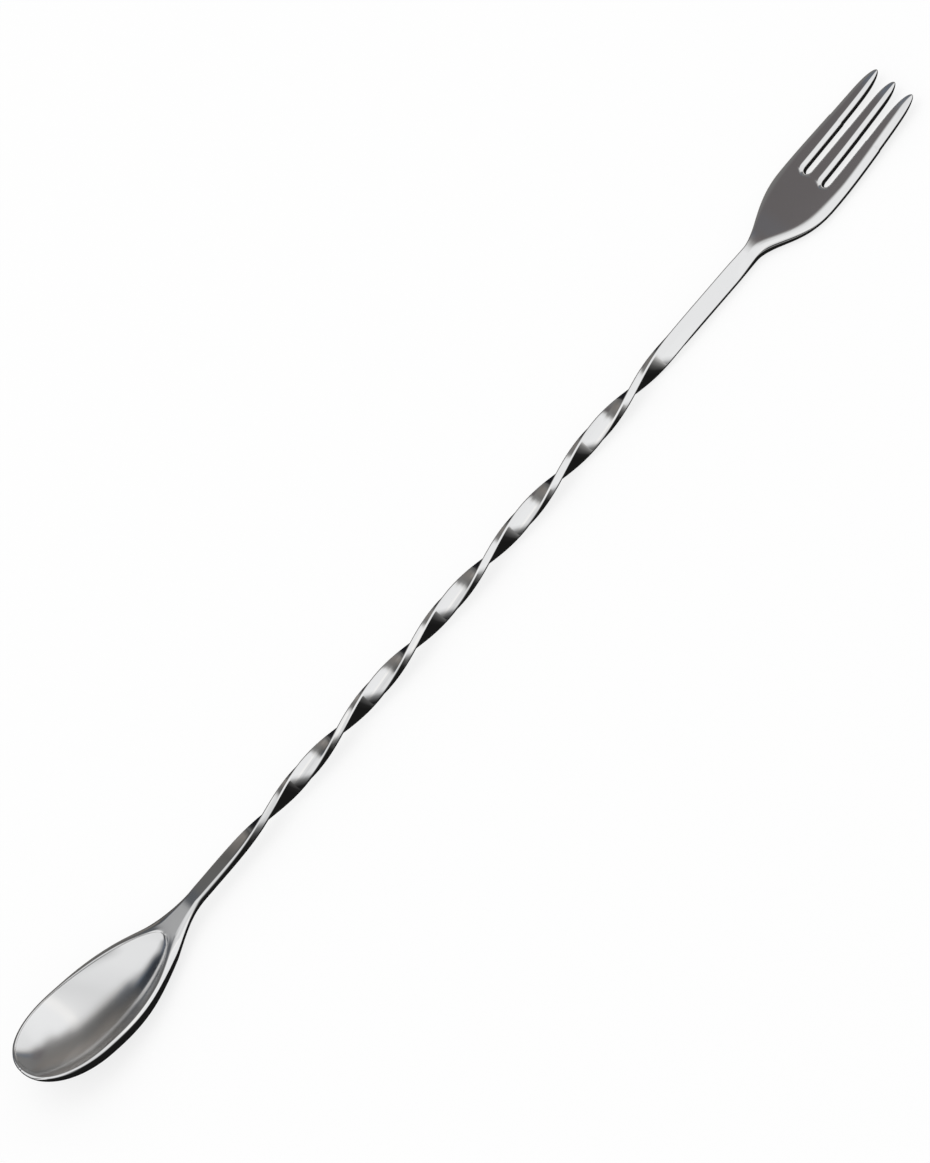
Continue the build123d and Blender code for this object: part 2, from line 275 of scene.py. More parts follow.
def twist_roll(x):
    """Roll of the bar at x: the rate of twist fades in, stays even, and fades out again."""
    even_length = (TWIST_END_AT - TWIST_START_AT) - (TWIST_FADE_IN + TWIST_FADE_OUT) / 2
    rate = TWIST_TOTAL / even_length
    fade_in = np.clip((x - TWIST_START_AT) / TWIST_FADE_IN, 0.0, 1.0)
    even = np.maximum(np.minimum(x, TWIST_END_AT) - TWIST_START_AT - TWIST_FADE_IN, 0.0)
    slowed = np.clip((x - TWIST_END_AT + TWIST_FADE_OUT) / TWIST_FADE_OUT, 0.0, 1.0)
    turned_length = TWIST_FADE_IN * eased_area(fade_in) + even - TWIST_FADE_OUT * eased_area(slowed)
    return rate * turned_length


def stem_mesh():
    work = Patchwork()
    stations = np.linspace(BOWL_WELD_AT, FORK_WELD_AT, STEM_STATIONS)
    crisp = ease(stations, TWIST_START_AT, TWIST_START_AT + NECK_EDGE_FADE)[:, None, None]
    round_bar, crisp_bar = bar_profile(NECK_EDGE_RADIUS)[None], bar_profile(BAR_EDGE_RADIUS)[None]
    profile = between(round_bar, crisp_bar, crisp)
    across, up = turned(profile[..., 0], profile[..., 1], twist_roll(stations)[:, None])
    points = np.stack([np.broadcast_to(stations[:, None], across.shape), across, up], axis=-1)
    work.grid(points, closed=True)
    work.cap(points[0])
    work.cap(points[-1])
    return work


# ---- bowl ----

def fading(x, start, run, fullness):
    share = np.clip((x - start) / run, 0.0, 1.0)
    return np.cos(pi / 2 * share ** fullness) ** 2


def bowl_round(x, widest):
    share = np.maximum(widest - x, 0.0) / widest
    return np.maximum(1 - share ** NOSE_FULLNESS, 0.0) ** (1 / NOSE_FULLNESS)


def rim_height(x):
    arc = RIM_RISE * (np.maximum(RIM_ARC_START_AT - x, 0.0) / RIM_ARC_START_AT) ** RIM_RISE_CURVE
    dip = HEEL_DIP * (1 - ease(x, BOWL_WELD_AT - HEEL_DIP_RUN, BOWL_WELD_AT))
    return BAR_THICKNESS / 2 - dip + arc


def bowl_half_width(x):
    fade = fading(x, BOWL_WIDEST_AT, BOWL_OUTLINE_RUN, OUTLINE_FULLNESS)
    swell = (BOWL_WIDTH - BAR_WIDTH) / 2 * fade
    return (BAR_WIDTH / 2 + swell) * bowl_round(x, BOWL_WIDEST_AT)


def bowl_depth(x):
    fade = fading(x, BOWL_DEEPEST_AT, BOWL_DEPTH_RUN, DEPTH_FULLNESS)
    swell = (BOWL_DEPTH - BAR_THICKNESS) * fade
    return (BAR_THICKNESS + swell) * bowl_round(x, BOWL_DEEPEST_AT)


def rim_corner(x):
    """Run and drop of the upper edge's rounding."""
    heel = ease(x, HEEL_ROUNDING_FROM, HEEL_ROUNDING_FROM + HEEL_ROUNDING_RUN)
    weld = ease(x, HEEL_ROUNDING_FROM + HEEL_ROUNDING_RUN, BOWL_WELD_AT)
    run = between(between(RIM_ROUNDING, HEEL_ROUNDING, heel), NECK_EDGE_RADIUS, weld)
    drop = between(between(RIM_ROUNDING, HEEL_ROUNDING_DROP, heel), NECK_EDGE_RADIUS, weld)
    most = RIM_CORNER_MOST
    return np.minimum(run, bowl_half_width(x) * most), np.minimum(drop, bowl_depth(x) * most)


def tip_edge(x):
    """Drop of the top's edge at the very tip, where the rim rounds off forwards, not sideways."""
    return TIP_EDGE * (1 - ease(x, 0, TIP_EDGE_RUN))


def bowl_stations():
    """Stations of the outside, crowded towards the tip."""
    turn = np.linspace(0, pi / 2, NOSE_STATIONS)
    nose = TIP_FLAT + (BOWL_WIDEST_AT - TIP_FLAT) * (1 - np.cos(turn))
    heel = np.linspace(BOWL_WIDEST_AT, BOWL_WELD_AT, HEEL_STATIONS)[1:]
    return np.concatenate([nose, heel])


def outside_points(x):
    """Rows along x of the outside's section, from the right-hand edge of the top to the left's."""
    half_width = bowl_half_width(x)[:, None]
    lowered = tip_edge(x)[:, None]
    depth = bowl_depth(x)[:, None] - lowered * bowl_round(x, BOWL_DEEPEST_AT)[:, None]
    run, drop = (size[:, None] * (1 - lowered / TIP_EDGE) for size in rim_corner(x))
    neck = ease(x, RIM_ARC_START_AT, BOWL_WELD_AT)[:, None]
    widest = half_width * BELLY_ROUNDNESS
    deepest = (depth - drop) * BELLY_RISE
    low_run = between(widest, NECK_EDGE_RADIUS, neck)
    low_rise = between(deepest, NECK_EDGE_RADIUS, neck)
    cosines, sines = corner_points(10)
    big_cosines, big_sines = corner_points(40)
    share = flat_points(3)
    across = [half_width - run + run * sines, half_width + 0 * share]
    down = [-drop + drop * cosines, between(-drop, -depth + low_rise, share)]
    across.append(half_width - low_run + low_run * big_cosines)
    down.append(-depth + low_rise - low_rise * big_sines)
    flat = half_width - low_run
    across.append(between(flat, 0, np.linspace(0, 1, 6)[1:]))
    down.append(-depth + 0 * np.linspace(0, 1, 6)[1:])
    across = np.concatenate(across, axis=1)
    down = np.concatenate(down, axis=1)
    across = np.concatenate([across, -across[:, -2::-1]], axis=1)
    down = np.concatenate([down, down[:, -2::-1]], axis=1)
    along = np.broadcast_to(x[:, None], across.shape)
    return np.stack([along, across, down - lowered + rim_height(x)[:, None]], axis=-1)


def hollow_points(share, turn):
    """Point of the hollow at a share of the way out and a turn about its middle, 0 at the heel."""
    front = np.cos(turn) < 0
    power = np.where(front, 2 / NOSE_FULLNESS, 2 / HOLLOW_HEEL_FULLNESS)
    reach = np.where(front, RIM_WIDTH - BOWL_WIDEST_AT, CAVITY_END_AT - BOWL_WIDEST_AT)
    outward = share * np.abs(np.cos(turn)) ** power
    sideways = share * np.abs(np.sin(turn)) ** power * np.sign(np.sin(turn))
    along = BOWL_WIDEST_AT + reach * outward
    shortened = np.maximum(1 - outward ** (2 / power), 1e-9) ** (power / 2)
    half_width = (BOWL_WIDTH / 2 - RIM_WIDTH) * shortened
    depth = (BOWL_DEPTH - BELLY_WALL) * np.maximum(1 - outward ** 2, 1e-9) ** HOLLOW_FULLNESS
    lip = np.minimum(HOLLOW_LIP, depth / 3)
    across = (BOWL_WIDTH / 2 - RIM_WIDTH) * sideways
    sagitta = depth - lip
    radius = (half_width ** 2 + sagitta ** 2) / (2 * sagitta)
    short = np.minimum(np.abs(across), half_width)
    up = rim_height(along) - lip - (np.sqrt(radius ** 2 - short ** 2) - (radius - sagitta))
    return np.stack([along, across, up], axis=-1)


def bowl_mesh():
    work = Patchwork()
    x = bowl_stations()
    outside = outside_points(x)
    work.grid(outside)
    nose = x <= BOWL_WIDEST_AT
    short = np.clip(1 - (x - TIP_FLAT) / BOWL_WIDEST_AT, 0, 1)
    nose_turn = pi - np.arccos(short ** (NOSE_FULLNESS / 2))
    heel_turn = pi / 2 * (1 - (x - BOWL_WIDEST_AT) / (BOWL_WELD_AT - BOWL_WIDEST_AT))
    turn = np.where(nose, nose_turn, heel_turn)
    rings = np.sin(np.linspace(pi / 2, 0, HOLLOW_RINGS))
    for side in (1, -1):
        edge = outside[:, 0] if side == 1 else outside[:, -1]
        inner = hollow_points(np.ones_like(turn), side * turn)
        work.grid(top_band(edge, inner))
        work.grid(hollow_points(rings[:, None], side * turn[None, :]), finish=1)
    for end, direction in ((outside[0], pi), (outside[-1], 0.0)):
        ends = between(end[0][None, :], end[-1][None, :], np.linspace(0, 1, 12)[:, None])
        inner = np.broadcast_to(hollow_points(np.array(1.0), np.array(direction)), ends.shape)
        work.grid(top_band(ends, inner))
        work.cap(np.concatenate([end, ends[-2:0:-1]]))
    return work


def top_band(edge, inner):
    """Rows from the outer edge of the top, over the rim, down the rounded lip into the hollow."""
    plan = edge[:, :2] - inner[:, :2]
    length = np.linalg.norm(plan, axis=1)[:, None]
    direction = plan / length
    lip_drop = rim_height(inner[:, :1]) - inner[:, 2:3]
    cosines, sines = corner_points(9)
    edge_drop = tip_edge(edge[:, :1])
    edge_run = np.minimum(np.maximum(edge_drop, TOP_EDGE_LEAST), length * TOP_EDGE_MOST)
    lip_run = np.minimum(LIP_ROUNDING, (length - edge_run) * LIP_MOST)
    outer = length - edge_run * (1 - cosines)
    flat = between(length - edge_run, lip_run, np.linspace(0, 1, 14)[None, 1:-1])
    lip = lip_run * (1 - sines)
    distance = np.concatenate([outer, flat, lip], axis=1)
    lowered = np.concatenate([edge_drop * (1 - sines), 0 * flat, lip_drop * (1 - cosines)], axis=1)
    along = inner[:, :1] + direction[:, :1] * distance
    across = inner[:, 1:2] + direction[:, 1:2] * distance
    up = rim_height(along) - lowered
    return np.stack([along, across, up], axis=-1)


# ---- fork ----

def fork_lift(x):
    sag = FORK_SAG * ease(x, FORK_NECK_AT, FORK_SAG_AT)
    beyond = np.maximum(x - FORK_SAG_AT, 0.0) / (OVERALL_LENGTH - FORK_SAG_AT)
    return (FORK_SAG + FORK_TIP_RISE) * beyond ** 2 - sag


def fork_sizes(x):
    """Half width, half thickness, roll, and run and rise of the small and the bevelled corner."""
    before_palm = np.clip((FORK_PALM_AT - x) / (FORK_PALM_AT - FORK_NECK_AT), 0.0, 1.0)
    flare = ease(1 - before_palm ** FLARE_FULLNESS, 0, 1)
    taper = ease(x, FORK_PALM_AT, OVERALL_LENGTH)
    palm = between(FORK_WIDTH, FORK_TIP_WIDTH, taper)
    neck = BAR_WIDTH * between(1.0, FORK_NECK_WAIST, ease(x, FORK_WELD_AT, FORK_NECK_AT))
    swell = ease(x, FORK_WELD_AT, FORK_NECK_AT + FORK_SWELL_RUN)
    slimming = ease(x, FORK_BROAD_AT, SLOT_ROOT_AT + FORK_SLIMMING_RUN)
    thickness = between(between(BAR_THICKNESS, FORK_THICKNESS, swell), TINE_THICKNESS, slimming)
    palm_run = between(PALM_EDGE_RUN, TINE_EDGE_RUN, slimming)
    palm_rise = FORK_EDGE_RISE * thickness
    opening = ease(x, FORK_NECK_AT, FORK_BROAD_AT)
    small = tuple(between(BAR_EDGE_RADIUS, size, opening) for size in (palm_run, palm_rise))
    bevelling = ease(x, FORK_WELD_AT, FORK_LEVEL_AT)
    bevel_run = between(NECK_BEVEL_RUN, palm_run, opening)
    bevel_rise = between(NECK_BEVEL_RISE * thickness, palm_rise, opening)
    bevel = tuple(between(BAR_EDGE_RADIUS, size, bevelling) for size in (bevel_run, bevel_rise))
    roll = PLAIN_ROLL * (1 - bevelling)
    return between(neck, palm, flare) / 2, thickness / 2, roll, small, bevel


def slot_middle(x, side):
    """Distance of a slot's centre line from the fork's; before the slots, a share of the width."""
    pitch = between(TINE_PITCH, TINE_TIP_PITCH, ease(x, SLOT_ROOT_AT, OVERALL_LENGTH))
    narrow = fork_sizes(x)[0] * TINE_PITCH / (FORK_WIDTH / 2)
    settled = ease(x, FORK_BROAD_AT, SLOT_ROOT_AT - SLOT_EDGE_RADIUS)
    return side / 2 * between(narrow, pitch, settled)


def slot_half(x):
    """Half width of a slot: a round root, then straight sides that part a little."""
    half_root = SLOT_WIDTH / 2
    centre = SLOT_ROOT_AT + half_root
    into = np.clip((centre - x) / half_root, 0.0, 1.0)
    beyond = np.maximum(x - centre, 0.0) / (OVERALL_LENGTH - centre)
    flared = between(1.0, SLOT_FLARE, beyond)
    return half_root * np.where(x < centre, np.sqrt(1 - into * into), flared)


def rolled_off(distance, run, rise):
    """Drop of the face at a distance from an edge that is rounded by a quarter ellipse."""
    short = np.clip(1 - distance / run, 0.0, 1.0)
    return rise * (1 - np.sqrt(1 - short * short))


def tine_columns():
    """Places across a tine, as shares of one edge's rounding and of the middle."""
    rounded = 1 - np.cos(np.linspace(0, pi / 2, 13))
    middle = np.concatenate([[0.03], np.linspace(0, 1, 6)[1:-1], [0.97]])
    return rounded, middle


def tine_span(column, index, half_width):
    """Left and right edge of one tine's strip, as if it had no tip."""
    open_half = np.where(column > SLOT_ROOT_AT, slot_half(column), 0.0)
    left = -half_width if index == 0 else slot_middle(column, 2 * index - 3) + open_half
    right = half_width if index == 2 else slot_middle(column, 2 * index - 1) - open_half
    return left, right


def run_into_tip(column, size, envelope):
    """Half width or half thickness of a tine that rounds off within an envelope at its tip."""
    beyond = np.clip((column - TIP_ROUNDING_AT) / (OVERALL_LENGTH - TIP_ROUNDING_AT), 0.0, 1.0)
    egg = np.sqrt(1 - beyond * beyond)
    return np.where(beyond > 0, softer_of(size, envelope * egg), size)


def tine_grid(x, index):
    """Top and bottom points of the strip of fork that belongs to one tine."""
    half_width, half_thick, roll, small, bevel = fork_sizes(x)
    half_width, half_thick, roll = (size[:, None] for size in (half_width, half_thick, roll))
    column = x[:, None]
    left, right = tine_span(column, index, half_width)
    middle = (left + right) / 2
    full = (right - left) / 2
    slim = run_into_tip(column, full, (TINE_TIP_PITCH - SLOT_WIDTH) / 2 * TIP_ENVELOPE)
    thick = run_into_tip(column, half_thick, TINE_THICKNESS / 2 * TIP_ENVELOPE)
    left, right = middle - slim, middle + slim
    shrink, thin = slim / full, thick / half_thick
    outer = (left if index == 0 else -half_width, right if index == 2 else half_width)
    lift = fork_lift(column)
    sheets = []
    for face, corners in ((1, (bevel, small)), (-1, (small, bevel))):
        runs = [run[:, None] * shrink for run, _ in corners]
        rises = [rise[:, None] * thin for _, rise in corners]
        slot_run = SLOT_EDGE_RADIUS * shrink
        left_run = runs[0] if index == 0 else slot_run
        right_run = runs[1] if index == 2 else slot_run
        across = tine_across(left, right, left_run, right_run)
        drop = rolled_off(across - outer[0], runs[0], rises[0])
        drop = np.maximum(drop, rolled_off(outer[1] - across, runs[1], rises[1]))
        if index > 0:
            drop = np.maximum(drop, slot_drop(column, across, index - 1, left, 1, slot_run, thin))
        if index < 2:
            drop = np.maximum(drop, slot_drop(column, across, index, right, -1, slot_run, thin))
        y, z = turned(across, face * (thick - drop), roll)
        sheets.append(np.stack([np.broadcast_to(column, y.shape), y, z + lift], axis=-1))
    return sheets


def tine_across(left, right, left_run, right_run):
    """Places across a strip, crowded in the roundings of its edges."""
    rounded, flat = tine_columns()
    left_part = np.minimum(left_run, TINE_ROUNDING_MOST * (right - left))
    right_part = np.minimum(right_run, TINE_ROUNDING_MOST * (right - left))
    return np.concatenate([
        left + left_part * rounded,
        between(left + left_part, right - right_part, flat),
        right - right_part * rounded[::-1],
    ], axis=1)


def softer_of(first, second):
    """The lesser of two sizes, with a soft change from one to the other."""
    power = 8
    floor = 1e-6
    return (first ** -power + np.maximum(second, floor) ** -power) ** (-1 / power)


def slot_drop(x, across, slot, edge, side, run, thin):
    """Drop near a slot: by the distance to its round root, and beyond that to its straight side."""
    half_root = SLOT_WIDTH / 2
    centre = SLOT_ROOT_AT + half_root
    away = np.hypot(np.minimum(x - centre, 0.0), across - slot_middle(x, 2 * slot - 1)) - half_root
    straight = side * (across - edge)
    distance = np.where(x < centre, np.maximum(away, 0.0), straight)
    return rolled_off(distance, run, SLOT_EDGE_RADIUS * thin)


def fork_stations():
    """Stations of the palm and of the tines, crowded at the slots' roots and at the tips."""
    neck = np.linspace(FORK_WELD_AT, SLOT_ROOT_AT - ROOT_APPROACH, PALM_STATIONS)
    before = SLOT_ROOT_AT - ROOT_APPROACH * np.linspace(1, 0, 14)[1:]
    half_root = SLOT_WIDTH / 2
    root = SLOT_ROOT_AT + half_root * (1 - np.cos(np.linspace(0, pi / 2, 16)))
    tines = np.linspace(root[-1], TIP_ROUNDING_AT, 45)[1:]
    tip_run = OVERALL_LENGTH - TIP_ROUNDING_AT
    tips = TIP_ROUNDING_AT + tip_run * np.sin(np.linspace(0, pi / 2, 70))[1:]
    return np.concatenate([neck, before]), np.concatenate([root, tines, tips])


def fork_mesh():
    work = Patchwork()
    palm, tines = fork_stations()
    for index in range(3):
        for stations, walls in ((palm, (index == 0, index == 2)), (tines, (True, True))):
            top, bottom = tine_grid(stations, index)
            work.grid(top)
            work.grid(bottom)
            for wanted, column in zip(walls, (0, -1)):
                if wanted:
                    low, high = bottom[:, column][:, None], top[:, column][:, None]
                    work.grid(between(low, high, WALL_HEIGHTS[None, :, None]))
    first_top, first_bottom = zip(*(tine_grid(palm[:1], index) for index in range(3)))
    over = np.concatenate([sheet[0][index > 0:] for index, sheet in enumerate(first_top)])
    under = np.concatenate([sheet[0][index > 0:] for index, sheet in enumerate(first_bottom)])
    inside = WALL_HEIGHTS[1:-1, None]
    right, left = between(over[-1], under[-1], inside), between(under[0], over[0], inside)
    work.cap(np.concatenate([over, right, under[::-1], left]))
    return work


# ---- steel ----

STEEL_COLOUR = (0.76, 0.752, 0.742, 1.0)
GRAIN_STRETCH = (60, 2500, 2500)     # noise to the metre: long along the spoon, fine across it
GRAIN_DETAIL = 4.0
GRAIN_HEIGHT = 0.00002
CLOUD_SCALE = 140.0
CLOUD_DETAIL = 5.0
CLOUD_RANGE = (0.3, 0.7)
LEAST_ROUGHNESS = 0.02


def noise_of(nodes, links, place, scale, detail):
    noise = nodes.new("ShaderNodeTexNoise")
    noise.inputs["Scale"].default_value = scale
    noise.inputs["Detail"].default_value = detail
    links.new(place, noise.inputs["Vector"])
    return noise.outputs["Fac"]


def steel(name, roughness, spread, grain):
    """Polished stainless steel with fine polishing lines along the spoon and faint uneven gloss."""
    material = bpy.data.materials.new(name)
    material.use_nodes = True
    nodes, links = material.node_tree.nodes, material.node_tree.links
    shader = nodes["Principled BSDF"]
    shader.inputs["Base Color"].default_value = STEEL_COLOUR
    shader.inputs["Metallic"].default_value = 1.0
    place = nodes.new("ShaderNodeTexCoord").outputs["Object"]
    stretch = nodes.new("ShaderNodeMapping")
    stretch.inputs["Scale"].default_value = GRAIN_STRETCH
    links.new(place, stretch.inputs["Vector"])
    gloss = nodes.new("ShaderNodeMapRange")
    ends = (*CLOUD_RANGE, max(roughness - spread, LEAST_ROUGHNESS), roughness + spread)
    for socket, value in zip(gloss.inputs[1:5], ends):
        socket.default_value = value
    links.new(noise_of(nodes, links, place, CLOUD_SCALE, CLOUD_DETAIL), gloss.inputs["Value"])
    links.new(gloss.outputs["Result"], shader.inputs["Roughness"])
    bump = nodes.new("ShaderNodeBump")
    bump.inputs["Strength"].default_value = grain
    bump.inputs["Distance"].default_value = GRAIN_HEIGHT
    lines = noise_of(nodes, links, stretch.outputs["Vector"], 1.0, GRAIN_DETAIL)
    links.new(lines, bump.inputs["Height"])
    links.new(bump.outputs["Normal"], shader.inputs["Normal"])
    return material


# ---- studio ----

# Colours of the painted reflections on the cards below, which glow and only reflections see: the
# first is the painted shade under the spoon, the others tint the painted reflections.
PAINTED_SHADE = (0.011, 0.011, 0.014)
COOL = (0.985, 1.0, 1.02)
PLAIN = (1.0, 1.0, 1.0)
ROSE = (1.04, 0.975, 1.0)
TAN = (1.02, 1.0, 0.98)
BROWN = (1.06, 0.995, 0.94)
NAVY = (0.82, 0.96, 1.2)
SLATE = (0.92, 0.98, 1.08)

VAULT_RADIUS = 0.3
VAULT_HALF_LENGTH = 1.0
VAULT_SIDES = 128

# In front, the arch's painted reflection is dark low down and white above. The edge between them
# drops towards the fork by FRONT_SLANT half turns a metre, between two places along the spoon,
# and drops once more beyond the tip of the bowl. The ramp gives the painted brightness at each
# number of degrees round the arch, reckoned from FRONT_SHIFT half turns below the horizon.
FRONT_SLANT = 1.31
SLANT_FROM = -0.2
SLANT_TO = 0.1
TIP_FROM = -0.27
TIP_TO = -0.21
TIP_DROP = 0.09
FRONT_SHIFT = 0.222
FRONT_RAMP = (
    (0, 0.012), (14, 0.02), (28, 0.1), (41, 0.25), (50, 0.52), (58, 0.82), (70, 1.0),
)

# Behind, the arch's painted reflection darkens in its own way beside each part of the spoon.
# Each row gives between which places, in metres along the spoon, it takes over from the row
# before, and then the degrees round the arch, the brightness and the tint of each stop.
BACK_ZONES = (
    (None, (
        (0, 1.0, COOL), (150, 0.95, COOL), (156, 0.2, PLAIN), (160, 0.02, NAVY),
        (180, 0.015, NAVY)
    )),
    ((-0.345, -0.3), (
        (0, 1.0, COOL), (130, 1.0, COOL), (141, 0.7, COOL), (150, 0.4, COOL), (160, 0.15, NAVY),
        (180, 0.1, NAVY)
    )),
    ((-0.24, -0.2), (
        (0, 1.0, COOL), (123, 1.0, COOL), (130, 0.84, COOL), (137, 0.36, COOL), (144, 0.09, NAVY),
        (152, 0.04, NAVY), (180, 0.04, NAVY)
    )),
    ((-0.17, -0.158), (
        (0, 0.98, COOL), (114, 0.97, COOL), (123, 0.82, COOL), (130, 0.55, COOL),
        (135, 0.42, COOL), (141, 0.17, NAVY), (148, 0.06, NAVY), (180, 0.04, NAVY)
    )),
    ((-0.149, -0.137), (
        (0, 0.96, COOL), (104, 0.94, COOL), (112, 0.88, COOL), (120, 0.6, PLAIN),
        (126, 0.25, SLATE), (131, 0.135, SLATE), (141, 0.1, SLATE), (152, 0.11, TAN),
        (168, 0.14, BROWN), (180, 0.04, PLAIN)
    )),
    ((-0.122, -0.1), (
        (0, 0.86, COOL), (104, 0.86, COOL), (110, 0.8, COOL), (117, 0.62, PLAIN),
        (122, 0.38, PLAIN), (128, 0.16, PLAIN), (140, 0.13, TAN), (152, 0.19, BROWN),
        (168, 0.24, BROWN), (180, 0.08, PLAIN)
    )),
    ((-0.088, -0.07), (
        (0, 0.94, COOL), (108, 0.92, COOL), (115, 0.8, COOL), (120, 0.57, PLAIN),
        (127, 0.26, PLAIN), (133, 0.18, PLAIN), (147, 0.18, TAN), (158, 0.25, BROWN),
        (170, 0.25, BROWN), (180, 0.1, PLAIN)
    )),
    ((-0.058, -0.045), (
        (0, 1.15, PLAIN), (102, 1.14, PLAIN), (110, 1.0, PLAIN), (119, 0.68, PLAIN),
        (127, 0.3, PLAIN), (136, 0.2, TAN), (146, 0.21, TAN), (160, 0.3, BROWN), (170, 0.28, TAN),
        (180, 0.12, PLAIN)
    )),
    ((-0.03, -0.01), (
        (0, 1.08, COOL), (104, 1.06, COOL), (111, 0.95, COOL), (118, 0.58, PLAIN),
        (125, 0.29, PLAIN), (135, 0.21, TAN), (160, 0.24, BROWN), (170, 0.22, TAN),
        (180, 0.13, PLAIN)
    )),
    ((0.03, 0.06), (
        (0, 1.06, COOL), (94, 1.06, COOL), (105, 0.97, COOL), (112, 0.7, PLAIN),
        (118, 0.37, PLAIN), (125, 0.25, PLAIN), (136, 0.22, TAN), (160, 0.21, BROWN),
        (180, 0.16, TAN)
    )),
    ((0.085, 0.105), (
        (0, 1.04, COOL), (104, 1.04, COOL), (114, 0.86, COOL), (122, 0.42, PLAIN),
        (128, 0.18, ROSE), (133, 0.148, ROSE), (142, 0.17, ROSE), (152, 0.2, PLAIN),
        (180, 0.22, PLAIN)
    )),
    ((0.15, 0.2), (
        (0, 1.04, COOL), (112, 0.95, COOL), (121, 0.78, PLAIN), (127, 0.33, PLAIN),
        (134, 0.17, NAVY), (145, 0.22, PLAIN), (180, 0.22, PLAIN)
    )),
)

# Height over the floor, and distance in front of the spoon's middle, from which the painted light
# of the front floor card is reckoned, in metres. The distance grows to the fork's half width
# between two places along the spoon, so the painted shade reaches further out under the fork.
FLOOR_SHIFT = 0.004
FORK_SHADE = 0.0105
FORK_SHADE_CHANGE = (0.098, 0.115)
LEAST_DISTANCE = 0.0005

FLOOR_HEIGHT = -0.0002
CARD_HEIGHT = -0.0001
FLOOR_REACH = 4
CARD_REACH = 3
FLOOR_PAINT = (0.9, 0.9, 0.9, 1)
FLOOR_GLOW = 0.8
FLOOR_PARTING = 0.0055       # across the spoon, where the front floor meets the back floor
FORK_FLOOR_FROM = 0.085      # along the spoon, where the floor behind the fork starts
# Across the spoon, where the back card's painted shade under the spoon turns to grey, and that
# grey.
BACK_FLOOR_CHANGE = (0.01, 0.07)
BACK_FLOOR_GREY = 0.14
# Brightness of the even grey painted reflection behind the fork.
FORK_FLOOR_GREY = 0.22
WORLD_STRENGTH = 0.9
SOFTBOX_SIZE = 1.0
SOFTBOX_POWER = 3.0
SOFTBOX_AT = (0, 0.2, 1.2)


def glowing(name):
    """Bare emission material, with its nodes, links, emission and own coordinates."""
    material = bpy.data.materials.new(name)
    material.use_nodes = True
    nodes, links = material.node_tree.nodes, material.node_tree.links
    nodes.clear()
    output = nodes.new("ShaderNodeOutputMaterial")
    glow = nodes.new("ShaderNodeEmission")
    links.new(glow.outputs["Emission"], output.inputs["Surface"])
    place = nodes.new("ShaderNodeTexCoord")
    return material, nodes, links, glow, place.outputs["Object"]


def ramp_of(nodes, links, value, stops):
    """Colour ramp through stops of (place, colour), in rising order."""
    colours = nodes.new("ShaderNodeValToRGB")
    elements = colours.color_ramp.elements
    elements.remove(elements[1])
    elements[0].position = stops[0][0]
    elements[0].color = (*stops[0][1], 1.0)
    for position, colour in stops[1:]:
        elements.new(position).color = (*colour, 1.0)
    links.new(value, colours.inputs["Fac"])
    return colours.outputs["Color"]


def sums(nodes, links, operation, first, second):
    """One step of arithmetic on two sockets, or on a socket and a number."""
    step = nodes.new("ShaderNodeMath")
    step.operation = operation
    for socket, value in zip(step.inputs, (first, second)):
        if isinstance(value, (int, float)):
            socket.default_value = value
        else:
            links.new(value, socket)
    return step.outputs[0]


def eased(nodes, links, value, start, end, first, last):
    """Number that goes smoothly from first to last as the value goes from start to end."""
    share = nodes.new("ShaderNodeMapRange")
    share.interpolation_type = "SMOOTHSTEP"
    for socket, number in zip(share.inputs[1:5], (start, end, first, last)):
        socket.default_value = number
    links.new(value, share.inputs["Value"])
    return share.outputs["Result"]


def eased_mix(nodes, links, value, change, first, second):
    """Colour that turns smoothly from the first to the second over a change of the value."""
    mixed = nodes.new("ShaderNodeMix")
    mixed.data_type = "RGBA"
    links.new(eased(nodes, links, value, *change, 0.0, 1.0), mixed.inputs["Factor"])
    links.new(first, mixed.inputs["A"])
    links.new(second, mixed.inputs["B"])
    return mixed.outputs["Result"]


def front_light(nodes, links, share, along):
    """Brightness of the painted reflection in front, by the share of a half turn above the horizon
    and the place along.
    """
    held = sums(nodes, links, "MINIMUM", sums(nodes, links, "MAXIMUM", along, SLANT_FROM), SLANT_TO)
    slanted = sums(nodes, links, "ADD", share, sums(nodes, links, "MULTIPLY", held, FRONT_SLANT))
    beyond_tip = eased(nodes, links, along, TIP_TO, TIP_FROM, 0.0, TIP_DROP)
    raised = sums(nodes, links, "ADD", sums(nodes, links, "ADD", slanted, beyond_tip), FRONT_SHIFT)
    return ramp_of(nodes, links, raised, [(at / 180, (value,) * 3) for at, value in FRONT_RAMP])


def reflections_only(thing):
    thing.visible_camera = False
    thing.visible_diffuse = False
    thing.visible_shadow = False
    thing.visible_transmission = False
    thing.visible_volume_scatter = False


def plane(name, low, high, height):
    mesh = bpy.data.meshes.new(name)
    corners = [(low[0], low[1]), (high[0], low[1]), (high[0], high[1]), (low[0], high[1])]
    mesh.from_pydata([(*corner, height) for corner in corners], [], [(0, 1, 2, 3)])
    thing = bpy.data.objects.new(name, mesh)
    bpy.context.scene.collection.objects.link(thing)
    return thing


